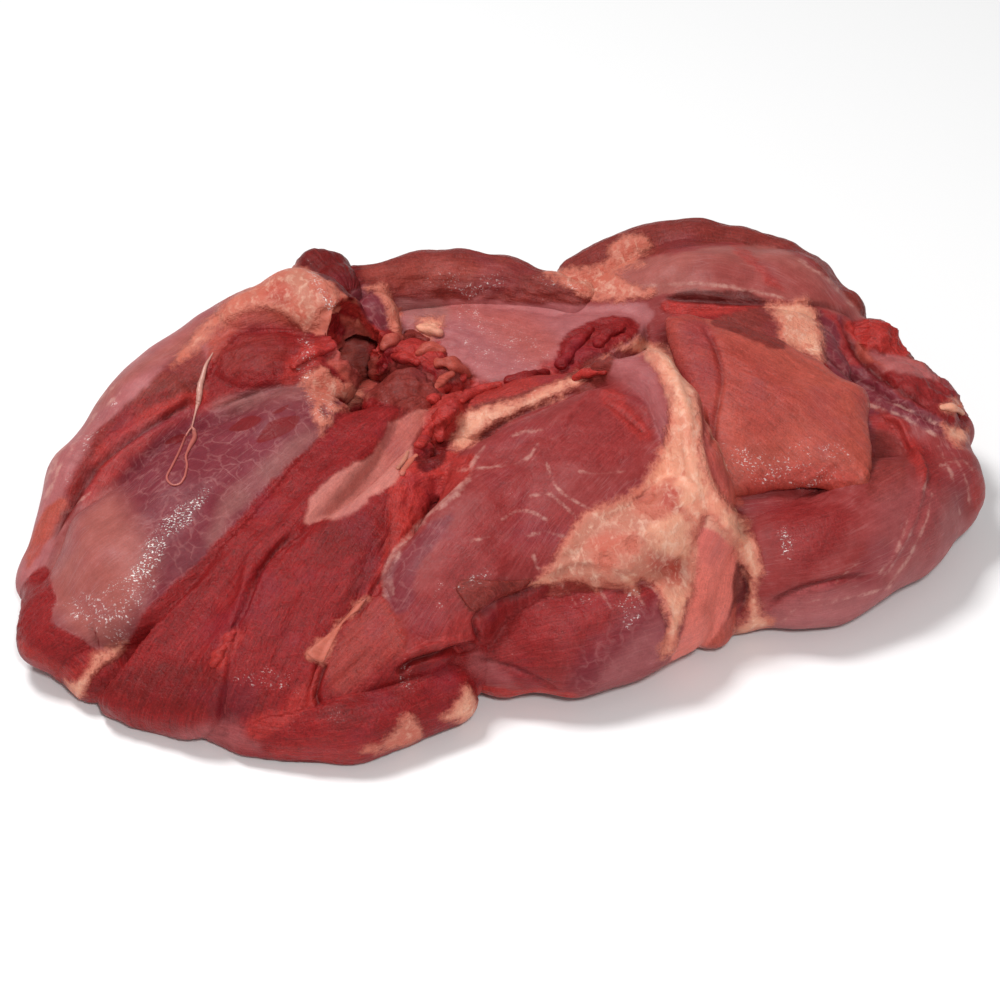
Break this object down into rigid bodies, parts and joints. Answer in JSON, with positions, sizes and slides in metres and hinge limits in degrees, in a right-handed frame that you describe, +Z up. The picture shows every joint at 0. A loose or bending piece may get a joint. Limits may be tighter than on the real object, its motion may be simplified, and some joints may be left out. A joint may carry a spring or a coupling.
{
  "type": "raw wild boar shoulder",
  "caption": "Boneless raw meat shoulder opened flat with its inner side up: dark red bellies under thin silverskin, fat seams, a fresh cut face and an overlapping trimmed flap.",
  "frame": {"origin": "middle of the flat underside that the meat lies on", "axes": "+X along the long side towards the end with the trimmed flap, +Y towards the long edge at the back, +Z up"},
  "size_m": [0.3232, 0.2264, 0.0734],
  "materials": {
    "raw_meat": "moist raw muscle, silverskin and fat with a soft wet gloss"
  },
  "bodies": {
    "root": {"boned_shoulder": "raw_meat"}
  },
  "joints": []
}
